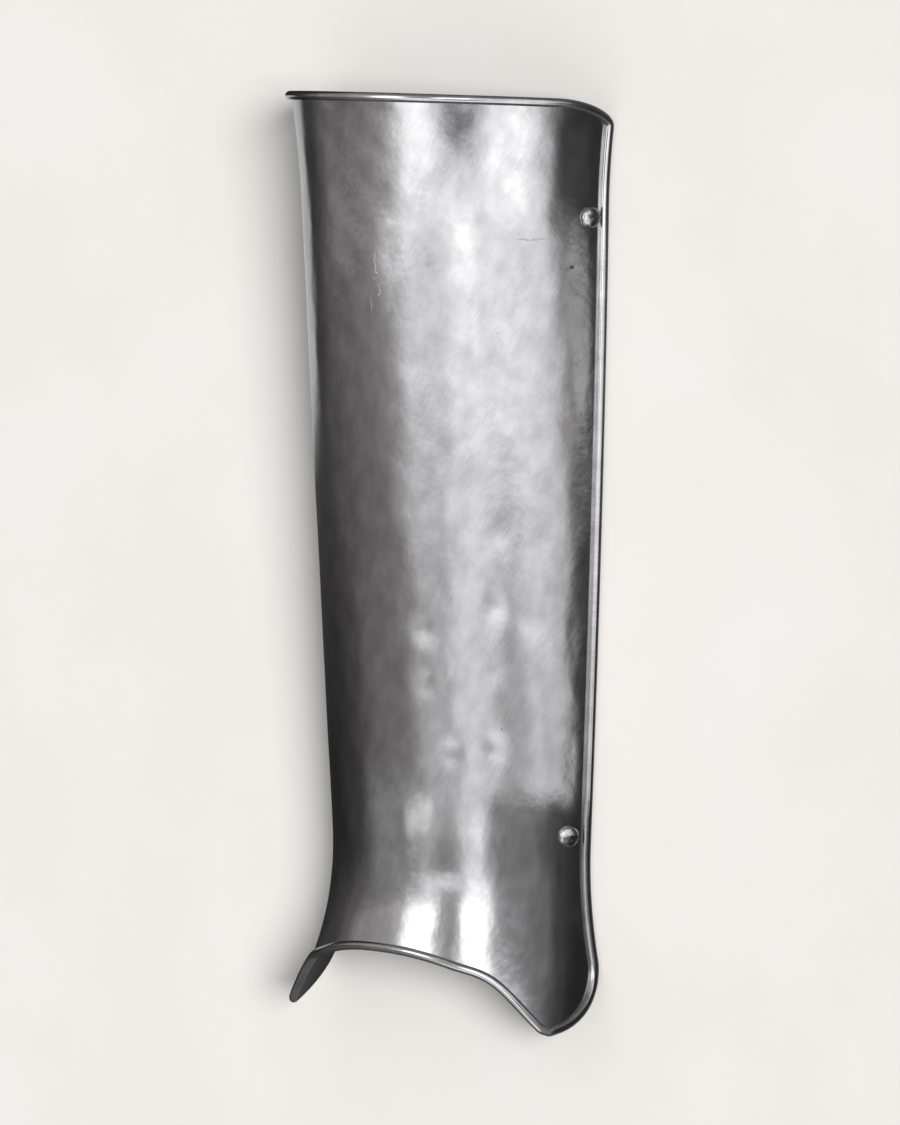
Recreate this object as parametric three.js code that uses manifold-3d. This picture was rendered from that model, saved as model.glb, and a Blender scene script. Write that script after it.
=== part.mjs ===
// Greave: one steel sheet formed over the shin, its outline rolled into a bead, and four domed rivets.
// Millimetres. X runs across the leg, Y up the leg and Z out of the shin.
// It lies open side down, the two long rear edges on the floor at Z = 0.
import * as THREE from 'three';
import { mergeVertices } from 'three/addons/utils/BufferGeometryUtils.js';
import Module from 'manifold-3d';

const wasm = await Module();
wasm.setup();

// Sheet and rolled edge
const LENGTH = 395;
const SHEET = 1.2;
const BEAD = 3.9;

// The tube the shell is cut from: radius and depth above the floor at three heights
const ANKLE_Y = 70;
const KNEE_BELOW_TOP = 35;
const KNEE_Y = LENGTH - KNEE_BELOW_TOP;
const MID_Y = (ANKLE_Y + KNEE_Y) / 2;
const ANKLE_RADIUS = 73.0;
const MID_RADIUS = 76.6;
const KNEE_RADIUS = 78.2;
const ANKLE_DEPTH = 50.3;
const MID_DEPTH = 59.8;
const KNEE_DEPTH = 69.8;

// Flares of the top and of the ankle: the top one grows toward the long edges, the ankle one fades
const TOP_FLARE = 2;
const TOP_FLARE_REACH = 48;
const TOP_FLARE_SIDES = 1.6;
const ANKLE_FLARE = 23.5;
const ANKLE_FLARE_REACH = 78;
const ANKLE_FLARE_POWER = 2;
const ANKLE_FLARE_FADE = 0.56;
const FADE_ANGLE = 1.4;

// Arch over the instep and the side lobes below it
const ARCH_HEIGHT = 32.2;
const ARCH_SHAPE = [1, 0.965, 0.84, 0.627, 0];
const LOBE_TIP_ANGLE = THREE.MathUtils.degToRad(52.1);
const LOBE_HEIGHT = 28;
const LOBE_ROUNDNESS = 1.75;
const TIP_EASE = 0.35;

// Top edge: a slight dip at the sides, then rounded rear corners
const TOP_DIP = 2;
const CORNER_WIDTH = 26;
const CORNER_HEIGHT = 10;
const CORNER_ROUNDNESS = 1.7;

// Rivets: heights up the leg and distances in from the long edge
const UPPER_RIVET_BELOW_TOP = 50.7;
const UPPER_RIVET_Y = LENGTH - UPPER_RIVET_BELOW_TOP;
const UPPER_RIVET_INSET = 6.8;
const LOWER_RIVET_Y = 81.5;
const LOWER_RIVET_INSET = 8.2;
const HEAD_RADIUS = 4.5;
const HEAD_HEIGHT = 2.6;
const SHANK_RADIUS = 2.2;
const HOLE_CLEARANCE = 0.3;
const HEAD_GAP = 0.3;
const TAIL_RADIUS = 3.8;
const TAIL_HEIGHT = 1.4;
const TAIL_GAP = 0.45;

// Mesh fineness
const COLUMNS = 36;
const COLUMN_CROWDING = 0.4;
const BEAD_SIDES = 10;
const ROW_ZONES = [[0, 0.12, 12], [0.12, 0.24, 6], [0.24, 0.86, 13], [0.86, 0.96, 4], [0.96, 1, 4]];

const steel = new THREE.MeshStandardMaterial({ color: 0xb2b3b5, roughness: 0.2, metalness: 1 });
const rivetSteel = new THREE.MeshStandardMaterial({ color: 0xbcbdbf, roughness: 0.18, metalness: 1 });

const clamp = THREE.MathUtils.clamp;

// A parabola through the ankle, middle and knee values
function along(y, ankle, middle, knee) {
  const a = (y - MID_Y) * (y - KNEE_Y) / ((ANKLE_Y - MID_Y) * (ANKLE_Y - KNEE_Y));
  const m = (y - ANKLE_Y) * (y - KNEE_Y) / ((MID_Y - ANKLE_Y) * (MID_Y - KNEE_Y));
  const k = (y - ANKLE_Y) * (y - MID_Y) / ((KNEE_Y - ANKLE_Y) * (KNEE_Y - MID_Y));
  return a * ankle + m * middle + k * knee;
}

function flareAt(y, angle) {
  const side = clamp(Math.abs(angle) / FADE_ANGLE, 0, 1.1) ** 4;
  const top = clamp((y - LENGTH + TOP_FLARE_REACH) / TOP_FLARE_REACH, 0, 1) ** 2;
  const ankle = clamp(1 - y / ANKLE_FLARE_REACH, 0, 1) ** ANKLE_FLARE_POWER;
  return top * (TOP_FLARE + TOP_FLARE_SIDES * side) + ANKLE_FLARE * ankle * (1 - ANKLE_FLARE_FADE * side);
}

// A point of the inner face at an angle from the front line and a height up the leg
function innerPoint(angle, y) {
  const radius = along(y, ANKLE_RADIUS, MID_RADIUS, KNEE_RADIUS);
  const depth = along(y, ANKLE_DEPTH, MID_DEPTH, KNEE_DEPTH);
  const reach = radius + flareAt(y, angle) - SHEET;
  return new THREE.Vector3(reach * Math.sin(angle), y, depth - radius + reach * Math.cos(angle));
}

function normalAt(angle, y) {
  const step = 0.01;
  const across = innerPoint(angle + step, y).sub(innerPoint(angle - step, y));
  const up = innerPoint(angle, y + 0.5).sub(innerPoint(angle, y - 0.5));
  return across.cross(up).normalize();
}

// The angle at which the bead of the long edge touches the floor
function edgeAngle(y) {
  let low = 0.8;
  let high = 2;
  for (let i = 0; i < 40; i += 1) {
    const middle = (low + high) / 2;
    const lowest = innerPoint(middle, y).z + (normalAt(middle, y).z - 1) * BEAD / 2;
    if (lowest > 0) low = middle;
    else high = middle;
  }
  return (low + high) / 2;
}

function archHeight(share) {
  const points = ARCH_SHAPE.map((value, i) => new THREE.Vector2(i / (ARCH_SHAPE.length - 1), value));
  const place = Math.abs(share) * (points.length - 1);
  const i = Math.min(Math.floor(place), points.length - 2);
  const t = place - i;
  const slope = (j) => {
    if (j <= 0) return 0;
    if (j >= points.length - 1) return points[j].y - points[j - 1].y;
    return (points[j + 1].y - points[j - 1].y) / 2;
  };
  const h = points[i + 1].y - points[i].y;
  const a = slope(i) - h;
  const b = h - slope(i + 1);
  return ARCH_HEIGHT * (points[i].y + t * h + t * (1 - t) * (a * (1 - t) + b * t));
}

// Evenly spaced places along a polyline of (angle, y) points
function spaced(points, shares) {
  const lengths = [0];
  for (let i = 1; i < points.length; i += 1) {
    const dx = (points[i].x - points[i - 1].x) * MID_RADIUS;
    lengths.push(lengths[i - 1] + Math.hypot(dx, points[i].y - points[i - 1].y));
  }
  const total = lengths[lengths.length - 1];
  return shares.map((share) => {
    let i = 1;
    while (i < points.length - 1 && lengths[i] < share * total) i += 1;
    const t = clamp((share * total - lengths[i - 1]) / (lengths[i] - lengths[i - 1]), 0, 1);
    return points[i - 1].clone().lerp(points[i], t);
  });
}

function archCurve(count) {
  const points = [];
  for (let i = 0; i <= count; i += 1) {
    const share = -1 + 2 * i / count;
    points.push(new THREE.Vector2(share * LOBE_TIP_ANGLE, archHeight(share)));
  }
  return points;
}

// The rounded rear corner of the top, from the top edge (0) to the long edge (1)
function cornerPoint(share) {
  const y = LENGTH - TOP_DIP - CORNER_HEIGHT;
  const edge = edgeAngle(y);
  const width = CORNER_WIDTH / KNEE_RADIUS;
  const turn = share * Math.PI / 2;
  const power = 2 / CORNER_ROUNDNESS;
  return new THREE.Vector2(edge - width + width * Math.sin(turn) ** power,
    y + CORNER_HEIGHT * Math.max(Math.cos(turn), 0) ** power);
}

function topCurve(count) {
  const corner = cornerPoint(0).x;
  const half = [];
  for (let i = 0; i <= count; i += 1) {
    const share = i / count;
    half.push(new THREE.Vector2(share * corner, LENGTH - TOP_DIP * share ** 2));
  }
  for (let i = 1; i <= 12; i += 1) half.push(cornerPoint(0.5 * i / 12));
  const left = half.slice(1).reverse().map((p) => new THREE.Vector2(-p.x, p.y));
  return [...left, ...half];
}

// From the lobe tip round the lobe, up the long edge and half round the top corner
function sideCurve(count) {
  const points = [];
  const power = 2 / LOBE_ROUNDNESS;
  for (let i = 0; i <= 30; i += 1) {
    const turn = i / 30 * Math.PI / 2;
    const y = LOBE_HEIGHT * (1 - Math.max(Math.cos(turn), 0) ** power);
    const across = LOBE_TIP_ANGLE + (edgeAngle(y) - LOBE_TIP_ANGLE) * Math.sin(turn) ** power;
    points.push(new THREE.Vector2(across, y));
  }
  const high = cornerPoint(1).y;
  for (let i = 1; i < count; i += 1) {
    const y = LOBE_HEIGHT + (high - LOBE_HEIGHT) * i / count;
    points.push(new THREE.Vector2(edgeAngle(y), y));
  }
  for (let i = 12; i >= 0; i -= 1) points.push(cornerPoint(0.5 + 0.5 * i / 12));
  return points;
}

function rowShares() {
  const shares = [];
  for (const [from, to, count] of ROW_ZONES) {
    for (let i = 0; i < count; i += 1) shares.push(from + (to - from) * i / count);
  }
  return [...shares, 1];
}

// Blunts the sharp point where the arch meets a lobe
function easeTips(net) {
  for (const [tip, beside] of [[0, 1], [COLUMNS, COLUMNS - 1]]) {
    const middle = net[0][beside].clone().lerp(net[1][tip], 0.5);
    net[0][tip].lerp(middle, TIP_EASE);
  }
  return net;
}

// The sheet's outline filled with a net of rows and columns, in (angle, y)
function sheetNet() {
  const columnShares = Array.from({ length: COLUMNS + 1 }, (_, i) => {
    const turn = Math.PI * 2 * i / COLUMNS;
    return i / COLUMNS - COLUMN_CROWDING * Math.sin(turn) / (Math.PI * 2);
  });
  const rows = rowShares();
  const bottom = spaced(archCurve(120), columnShares);
  const top = spaced(topCurve(60), columnShares);
  const side = spaced(sideCurve(80), rows);
  return easeTips(rows.map((v, j) => columnShares.map((u, i) => {
    const point = bottom[i].clone().multiplyScalar(1 - v).addScaledVector(top[i], v);
    const right = side[j];
    const left = new THREE.Vector2(-right.x, right.y);
    point.addScaledVector(left, 1 - u).addScaledVector(right, u);
    point.addScaledVector(bottom[0], -(1 - u) * (1 - v)).addScaledVector(bottom[COLUMNS], -u * (1 - v));
    return point.addScaledVector(top[0], -(1 - u) * v).addScaledVector(top[COLUMNS], -u * v);
  })));
}

function outlineOf(rowCount, columnCount) {
  const loop = [];
  for (let i = 0; i < columnCount; i += 1) loop.push([0, i]);
  for (let j = 0; j < rowCount; j += 1) loop.push([j, columnCount]);
  for (let i = columnCount; i > 0; i -= 1) loop.push([rowCount, i]);
  for (let j = rowCount; j > 0; j -= 1) loop.push([j, 0]);
  return loop;
}

// One closed body: inner face, outer face and the bead that joins them round the outline
function plateGeometry() {
  const net = sheetNet();
  const rowCount = net.length - 1;
  const loop = outlineOf(rowCount, COLUMNS);
  const inner = net.map((row) => row.map((p) => innerPoint(p.x, p.y)));
  const normals = net.map((row) => row.map((p) => normalAt(p.x, p.y)));
  const outer = inner.map((row, j) => row.map((p, i) => p.clone().addScaledVector(normals[j][i], SHEET)));
  const positions = [];
  const indices = [];
  const put = (p) => positions.push(p.x, p.y, p.z) / 3 - 1;
  const radius = BEAD / 2;
  const seam = Math.sqrt(radius ** 2 - (radius - SHEET) ** 2);
  const outwards = loop.map(([j, i], k) => {
    const [jb, ib] = loop[(k + loop.length - 1) % loop.length];
    const [ja, ia] = loop[(k + 1) % loop.length];
    const tangent = inner[ja][ia].clone().sub(inner[jb][ib]);
    return tangent.cross(normals[j][i]).normalize();
  });
  loop.forEach(([j, i], k) => outer[j][i].addScaledVector(outwards[k], -seam));
  const innerIds = inner.map((row) => row.map(put));
  const outerIds = outer.map((row) => row.map(put));
  for (let j = 0; j < rowCount; j += 1) {
    for (let i = 0; i < COLUMNS; i += 1) {
      const [a, b, c, d] = [[j, i], [j, i + 1], [j + 1, i + 1], [j + 1, i]];
      const [oa, ob, oc, od] = [a, b, c, d].map(([r, s]) => outerIds[r][s]);
      const [ia, ib, ic, id] = [a, b, c, d].map(([r, s]) => innerIds[r][s]);
      indices.push(oa, ob, oc, oa, oc, od, ia, ic, ib, ia, id, ic);
    }
  }
  const full = Math.PI * 2 - Math.acos((radius - SHEET) / radius);
  const rings = loop.map(([j, i], k) => {
    const ring = [innerIds[j][i]];
    const centre = inner[j][i].clone().addScaledVector(normals[j][i], radius);
    for (let s = 1; s < BEAD_SIDES; s += 1) {
      const turn = full * s / BEAD_SIDES;
      const p = centre.clone().addScaledVector(normals[j][i], -radius * Math.cos(turn));
      ring.push(put(p.addScaledVector(outwards[k], radius * Math.sin(turn))));
    }
    ring.push(outerIds[j][i]);
    return ring;
  });
  rings.forEach((ring, k) => {
    const next = rings[(k + 1) % rings.length];
    for (let s = 0; s < BEAD_SIDES; s += 1) {
      indices.push(ring[s], next[s], next[s + 1], ring[s], next[s + 1], ring[s + 1]);
    }
  });
  const geometry = new THREE.BufferGeometry();
  geometry.setAttribute('position', new THREE.Float32BufferAttribute(positions, 3));
  geometry.setIndex(indices);
  return geometry;
}

function toManifold(geometry) {
  const bare = geometry.clone();
  bare.deleteAttribute('normal');
  bare.deleteAttribute('uv');
  const merged = mergeVertices(bare, 1e-4);
  return new wasm.Manifold(new wasm.Mesh({
    numProp: 3,
    vertProperties: new Float32Array(merged.attributes.position.array),
    triVerts: new Uint32Array(merged.index.array),
  }));
}

function toGeometry(solid) {
  const mesh = solid.getMesh();
  const geometry = new THREE.BufferGeometry();
  geometry.setAttribute('position', new THREE.Float32BufferAttribute(mesh.vertProperties, 3));
  geometry.setIndex(new THREE.Uint32BufferAttribute(mesh.triVerts, 1));
  geometry.computeVertexNormals();
  return geometry;
}

// Where a rivet sits on the sheet: its frame has local Z along the sheet's outward normal
function rivetFrame(y, inset, side) {
  const radius = along(y, ANKLE_RADIUS, MID_RADIUS, KNEE_RADIUS) + flareAt(y, FADE_ANGLE);
  const angle = side * (edgeAngle(y) - inset / radius);
  const normal = normalAt(angle, y);
  const frame = new THREE.Group();
  frame.position.copy(innerPoint(angle, y)).addScaledVector(normal, SHEET);
  frame.quaternion.setFromUnitVectors(new THREE.Vector3(0, 0, 1), normal);
  return frame;
}

// A rivet turned about its axis; local Z = 0 is the outer face of the sheet
function rivetGeometry() {
  const tailTop = -SHEET - TAIL_GAP;
  const tailEnd = tailTop - TAIL_HEIGHT;
  const profile = [[0, tailEnd], [TAIL_RADIUS - 0.5, tailEnd], [TAIL_RADIUS, tailEnd + 0.5],
    [TAIL_RADIUS, tailTop], [SHANK_RADIUS, tailTop], [SHANK_RADIUS, HEAD_GAP], [HEAD_RADIUS, HEAD_GAP],
    [HEAD_RADIUS, HEAD_GAP + 0.5]];
  const dome = HEAD_HEIGHT - 0.5;
  for (let i = 1; i <= 5; i += 1) {
    const turn = i / 5 * Math.PI / 2;
    profile.push([i === 5 ? 0 : HEAD_RADIUS * Math.cos(turn), HEAD_GAP + 0.5 + dome * Math.sin(turn)]);
  }
  const lathe = new THREE.LatheGeometry(profile.map(([r, z]) => new THREE.Vector2(r, z)), 20);
  return lathe.rotateX(Math.PI / 2);
}

function holeGeometry() {
  const radius = SHANK_RADIUS + HOLE_CLEARANCE;
  const profile = [[0, -6], [radius, -6], [radius, 6], [0, 6]];
  const lathe = new THREE.LatheGeometry(profile.map(([r, z]) => new THREE.Vector2(r, z)), 24);
  return lathe.rotateX(Math.PI / 2);
}

const rivetPlaces = [
  ['rivet_right_upper', UPPER_RIVET_Y, UPPER_RIVET_INSET, 1],
  ['rivet_right_lower', LOWER_RIVET_Y, LOWER_RIVET_INSET, 1],
  ['rivet_left_upper', UPPER_RIVET_Y, UPPER_RIVET_INSET, -1],
  ['rivet_left_lower', LOWER_RIVET_Y, LOWER_RIVET_INSET, -1],
];

const greave = new THREE.Group();
greave.name = 'greave';

let plate = toManifold(plateGeometry());
for (const [name, y, inset, side] of rivetPlaces) {
  const frame = rivetFrame(y, inset, side);
  frame.updateMatrixWorld();
  plate = plate.subtract(toManifold(holeGeometry().applyMatrix4(frame.matrixWorld)));
  const rivet = new THREE.Mesh(rivetGeometry(), rivetSteel);
  rivet.name = name;
  rivet.position.copy(frame.position);
  rivet.quaternion.copy(frame.quaternion);
  greave.add(rivet);
}

// Set the lowest point on the floor and the middle of the length on the origin
const box = plate.boundingBox();
const shift = new THREE.Vector3(0, -(box.min[1] + box.max[1]) / 2, -box.min[2]);
const plateMesh = new THREE.Mesh(toGeometry(plate), steel);
plateMesh.name = 'shin_plate';
greave.add(plateMesh);
for (const piece of greave.children) piece.position.add(shift);

export default greave;
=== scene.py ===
import math
import bpy
import numpy as np
from mathutils import Matrix, Vector


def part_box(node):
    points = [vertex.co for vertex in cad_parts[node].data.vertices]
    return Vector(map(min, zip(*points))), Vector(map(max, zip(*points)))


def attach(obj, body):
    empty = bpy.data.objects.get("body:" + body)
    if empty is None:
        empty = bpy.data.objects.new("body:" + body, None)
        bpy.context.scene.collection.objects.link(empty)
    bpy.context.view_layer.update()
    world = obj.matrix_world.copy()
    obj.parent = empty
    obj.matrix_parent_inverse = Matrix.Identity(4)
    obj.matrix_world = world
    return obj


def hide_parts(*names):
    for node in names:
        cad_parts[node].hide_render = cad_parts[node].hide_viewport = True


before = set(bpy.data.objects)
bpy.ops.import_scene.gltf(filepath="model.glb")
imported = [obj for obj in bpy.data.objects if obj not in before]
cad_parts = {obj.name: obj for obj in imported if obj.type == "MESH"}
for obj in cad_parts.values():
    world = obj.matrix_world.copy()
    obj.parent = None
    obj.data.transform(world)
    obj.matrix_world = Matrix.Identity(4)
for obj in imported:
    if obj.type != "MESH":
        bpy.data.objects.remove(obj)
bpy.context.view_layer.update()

# Sheet and rolled edge, in millimetres
LENGTH = 395.0
SHEET = 1.2
BEAD = 3.9

# The tube the shell is cut from: radius and depth above the floor at three heights
ANKLE_Y = 70.0
KNEE_BELOW_TOP = 35.0
KNEE_Y = LENGTH - KNEE_BELOW_TOP
MID_Y = (ANKLE_Y + KNEE_Y) / 2
ANKLE_RADIUS = 73.0
MID_RADIUS = 76.6
KNEE_RADIUS = 78.2
ANKLE_DEPTH = 50.3
MID_DEPTH = 59.8
KNEE_DEPTH = 69.8

# Flares of the top and of the ankle
TOP_FLARE = 2.0
TOP_FLARE_REACH = 48.0
TOP_FLARE_SIDES = 1.6
ANKLE_FLARE = 23.5
ANKLE_FLARE_REACH = 78.0
ANKLE_FLARE_FADE = 0.56
FLARE_POWER = 2
FADE_ANGLE = 1.4
FADE_LIMIT = 1.1
FADE_POWER = 4

# Arch over the instep, side lobes, top edge and rear corners
ARCH_HEIGHT = 32.2
ARCH_SHAPE = [1, 0.965, 0.84, 0.627, 0]
LOBE_TIP_ANGLE = math.radians(52.1)
LOBE_HEIGHT = 28.0
LOBE_ROUNDNESS = 1.75
TIP_BLUNTING = 1.5
TIP_SPAN = 3
TOP_DIP = 2.0
CORNER_WIDTH = 26.0
CORNER_HEIGHT = 10.0
CORNER_ROUNDNESS = 1.7

# Rivets
UPPER_RIVET_BELOW_TOP = 50.7
UPPER_RIVET_Y = LENGTH - UPPER_RIVET_BELOW_TOP
UPPER_RIVET_INSET = 6.8
LOWER_RIVET_Y = 81.5
LOWER_RIVET_INSET = 8.2
HEAD_RADIUS = 4.5
HEAD_HEIGHT = 2.6
HEAD_RIM = 0.5
HEAD_CHAMFER = 0.1
SHANK_RADIUS = 2.2
HEAD_GAP = 0.3
TAIL_RADIUS = 3.8
TAIL_HEIGHT = 1.4
TAIL_ROUND = 0.5
TAIL_ROUND_MIDDLE = 0.15
TAIL_GAP = 0.45

# Unevenness of the hand-worked sheet: depth, wavelengths across and along, start of each wave
WAVES = [(0.05, 41, 260, 0.4), (0.035, 27, -160, 1.9), (0.03, 19, 75, 4.0), (0.018, 13, -47, 2.2),
         (0.03, 260, 52, 0.8), (0.016, 23, 21, 3.1)]

# Small dents: angle in degrees, height on the greave, depth, spread across, spread along.
# A negative depth is a soft bulge.
DENTS = [(43.0, 212, 0.34, 3.6, 4.2), (41.2, 181, 0.56, 3.4, 4.4), (39.6, 154, 0.40, 3.5, 4.2),
         (40.2, 120, 0.60, 3.6, 4.2), (17.2, 170, 0.64, 3.6, 4.4), (17.9, 147, 0.64, 3.6, 4.4),
         (25.0, 117, 0.64, 4.0, 4.2), (53.6, 175, 0.30, 4.0, 4.8), (56.2, 205, 0.20, 4.0, 4.8),
         (14.0, 74, -0.22, 7.0, 9.0), (23.0, 66, 0.26, 8.0, 7.0), (33.0, 71, -0.20, 7.0, 8.0),
         (47.0, 62, 0.22, 9.0, 8.0), (8.0, 52, 0.16, 9.0, 8.0), (20.0, 340, 0.22, 9.0, 14.0),
         (31.0, 372, -0.18, 8.0, 10.0), (50.0, 356, 0.16, 10.0, 12.0), (62.0, 318, -0.12, 7.0, 12.0)]

# The unevenness fades out over this width beside the bead of a sheet about this wide and long
FADE_WIDTH = 9.0
FADE_SHEET_WIDTH = 160
FADE_SHEET_LENGTH = 340

# Room left inside the CAD plate's box, in metres
BOX_MARGIN = 2e-6

# Mesh fineness, and how far the net's lines crowd toward the edges
COLUMNS = 144
ROWS = 196
COLUMN_CROWDING = 0.4
ROW_CROWDING = 0.5
BEAD_SIDES = 16
ARCH_POINTS = 241
CORNER_POINTS = 25
TOP_POINTS = 120
LOBE_POINTS = 61
SIDE_POINTS = 160
RIVET_SIDES = 48
RIVET_DOME_STEPS = 12
RIVET_CREASE = math.radians(50)
NORMAL_STEP_ANGLE = 0.01
NORMAL_STEP = 0.5
EDGE_SEARCH = (0.8, 2.0)
EDGE_SEARCH_STEPS = 40

# Patterns in the steel and the floor: lean from the greave's length in degrees, stretch along
# that line, blotches per metre, detail
CLOUDS = (0, 1.8, 45, 3)
MOTTLE = (0, 1.3, 230, 2)
PATCHES = (10, 1.5, 38, 2)
STROKES = (32, 14, 1500, 2)
FINE_LINES = (28, 30, 3200, 1)
WANDER = (0, 1, 300, 2)
DUST = (0, 1, 2400, 1)
FROST = (12, 1.6, 130, 3)
DIMPLES = (0, 1.4, 105, 2)
RIVET_MOTTLE = (0, 1, 700, 2)
PAPER_CLOUDS = (0, 1, 9, 4)

# Colours
STEEL_DIM = (0.50, 0.50, 0.505, 1)
STEEL_BRIGHT = (0.64, 0.64, 0.65, 1)
STEEL_DULL = (0.35, 0.35, 0.355, 1)
# The inner face's colour is darkened far below the outer steel's: painted shade of the hollow
INSIDE_STEEL_PAINTED_SHADE = (0.15, 0.147, 0.143, 1)
MARK_COLOUR = (0.06, 0.055, 0.05, 1)
SCRATCH_COLOUR = (0.9, 0.88, 0.85, 1)
RIVET_DIM = (0.30, 0.30, 0.305, 1)
RIVET_BRIGHT = (0.70, 0.70, 0.71, 1)
PAPER_DIM = (0.74, 0.715, 0.68, 1)
PAPER_BRIGHT = (0.80, 0.785, 0.76, 1)
SHADE_TINT = (1, 0.955, 0.94, 1)
LIGHT_TINT = (0.98, 0.98, 1, 1)
WHITE = (1, 1, 1, 1)

# How much of each pattern goes into the steel's tone, 1 for bright and 0 for dull
TONE_BASE = 0.68
GRAIN_TONE = 0.65
DUST_TONE = 0.25
FROST_TONE = 1.4
PATCH_RANGE = (0.42, 0.62)

# Roughness of the steel, what each pattern adds to it, and the range of it on the rivets
ROUGH_BASE = 0.07
CLOUD_ROUGH = 0.12
FINE_ROUGH = 0.06
SCRATCH_ROUGH = 0.22
INSIDE_ROUGH = 0.18
RIVET_ROUGH = (0.15, 0.27)
RIVET_RANGE = (0.3, 0.7)

# Depth of the steel's finest relief, in metres
MOTTLE_BUMP = 0.00005
DIMPLE_BUMP = 0.00008
GRAIN_BUMP = 0.00001
RIVET_BUMP = 0.0001

# Marks of use: angle in degrees, height, half width, half height in millimetres, wander, darkening
MARKS = [(56.5, 335.5, 8.5, 0.3, 0.9, 0.45), (69.4, 323.5, 1.3, 0.8, 0.3, 0.8),
         (67.8, 322.6, 0.8, 0.5, 0.2, 0.6), (44.5, 296, 0.4, 0.4, 0.1, 0.4),
         (42.5, 128, 0.5, 0.4, 0.1, 0.6), (45.5, 212, 0.4, 0.3, 0.1, 0.4)]

# How the mottle breaks a mark up: the mottle's values where this starts and ends, cover at either
MARK_BREAKS = (0.36, 0.56, 0.3, 1)

# Light scratches: angle in degrees, height, half width, half height in millimetres, wander
SCRATCHES = [(5.4, 324, 0.24, 6.5, 1.9), (6.2, 313, 0.2, 3.5, 1.2), (3.2, 306, 0.18, 4.5, 1.2)]
SCRATCH_COVER = 0.45

# Soft border of marks and scratches, in squares of their half size, and the noise that bends them
MARK_BORDER = (0.5, 1.2)
WANDER_GAIN = 4

# A screen round the part, mirrored by the steel alone: radius and half length in metres, reach to
# either side in degrees, and the brightness that the top of its curves stands for
TENT_RADIUS = 1.4
TENT_HALF_LENGTH = 1.6
TENT_REACH = 137.0
TENT_FULL = 2.5

# Brightness of the screen by direction, in degrees from straight up toward the right: for what
# the lower half of the plate mirrors, the upper half, and the ankle flare
TENT_LOW = [(-137, 0.02), (-91, 0.035), (-77, 0.06), (-64, 0.1), (-53, 0.19), (-43, 0.23), (-28, 0.25),
            (-20, 0.34), (-13, 0.5), (-5, 0.66), (2, 0.68), (8, 0.68), (15, 0.98), (24, 1.16), (34, 1.12),
            (42, 0.84), (50, 0.62), (58, 0.72), (68, 0.98), (76, 0.88), (84, 0.88), (90, 0.3), (95, 0.04),
            (137, 0.02)]
TENT_HIGH = [(-137, 0.05), (-91, 0.08), (-77, 0.13), (-64, 0.17), (-53, 0.2), (-43, 0.24), (-35, 0.29),
             (-28, 0.36), (-20, 0.5), (-13, 0.92), (-5, 1.34), (10, 1.45), (24, 1.48), (38, 1.6),
             (50, 1.72), (64, 1.55), (76, 1.3), (82, 1.04), (89, 0.56), (97, 0.2), (103, 0.06),
             (137, 0.04)]
TENT_ANKLE = [(-137, 0.02), (-95, 0.04), (-78, 0.15), (-62, 0.4), (-40, 0.5), (-25, 0.7), (-14, 1.0),
              (-3, 0.8), (6, 0.45), (15, 0.8), (34, 1.0), (46, 1.25), (56, 1.15), (64, 1.2), (76, 1.25),
              (84, 1.0), (91, 0.58), (97, 0.28), (103, 0.1), (137, 0.05)]

# Where along the screen, in metres, the low curve gives way to the high one on either side of it,
# and where the ankle's curve takes over from both
LOW_END = (-0.30, -0.10)
LOW_START = (-0.64, -0.48)
ANKLE_START = (-0.075, -0.015)
TINT_RANGE = (0.2, 1.1)

# Soft cards and black flags seen only in the steel: name, distance from the greave's axis, direction
# in degrees, place along the length, half angle, half length, soft border in each, brightness, cover
CARDS = [("strip_left", 1.30, -122, 0.05, 18, 0.08, 8, 0.05, 0.6, 1.0),
         ("strip_right", 1.30, 101, -0.04, 3, 0.03, 6, 0.05, 0.8, 1.0),
         ("ankle_white_left", 1.30, -13, 0.43, 5, 0.36, 9, 0.11, 3.2, 1.0),
         ("ankle_white_right", 1.30, 27, 0.46, 5, 0.36, 9, 0.22, 3.2, 1.0),
         ("top_white_left", 0.23, 8, 0.152, 5, 0.020, 10, 0.020, 2.0, 0.95),
         ("top_flag_middle", 0.22, 33, 0.176, 4, 0.022, 11, 0.022, 0.06, 0.95),
         ("top_white_right", 0.24, 58, 0.136, 5, 0.003, 12, 0.012, 2.4, 0.85),
         ("top_flag_right", 0.22, 99, 0.160, 13, 0.020, 15, 0.024, 0.05, 0.95),
         ("low_flag_right", 0.15, 92, -0.202, 12, 0.082, 24, 0.005, 0.03, 0.97),
         ("low_grey_right", 0.155, 56, -0.206, 9, 0.081, 12, 0.008, 0.26, 0.92),
         ("low_white_left", 0.15, -4, -0.1315, 4, 0.002, 10, 0.009, 1.9, 0.5),
         ("low_white_right", 0.15, 33, -0.1370, 1, 0.002, 8, 0.007, 1.7, 0.7),
         ("low_fill_left", 0.24, -22, -0.1500, 10, 0.008, 28, 0.010, 0.46, 0.7),
         ("low_flag_middle", 0.145, 15, -0.1440, 3, 0.002, 9, 0.005, 0.1, 0.75)]
CARD_STEPS = 24

# Cloudiness of the cards' borders: blotches per metre on a card one metre off, their detail, and
# how far they move the border, in shares of its width
CARD_CLOUDS = 9.0
CARD_CLOUD_DETAIL = 2
CARD_WOBBLE = 0.9

# Two plain cards: name, place, turn about X, width and length in metres, brightness. The first is the
# floor's soft reflection in the hollow, which the outside of the steel doesn't see. The second stands
# beyond the knee end and keeps the upper side of the rolled edge from going black.
UNDER_CARD = ("under_card", (0, -0.01, 0.0004), 0, (0.13, 0.36), 0.05)
END_CARD = ("end_card", (0, 1.55, 0.9), math.pi / 2, (2.8, 1.8), 0.28)

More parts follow.
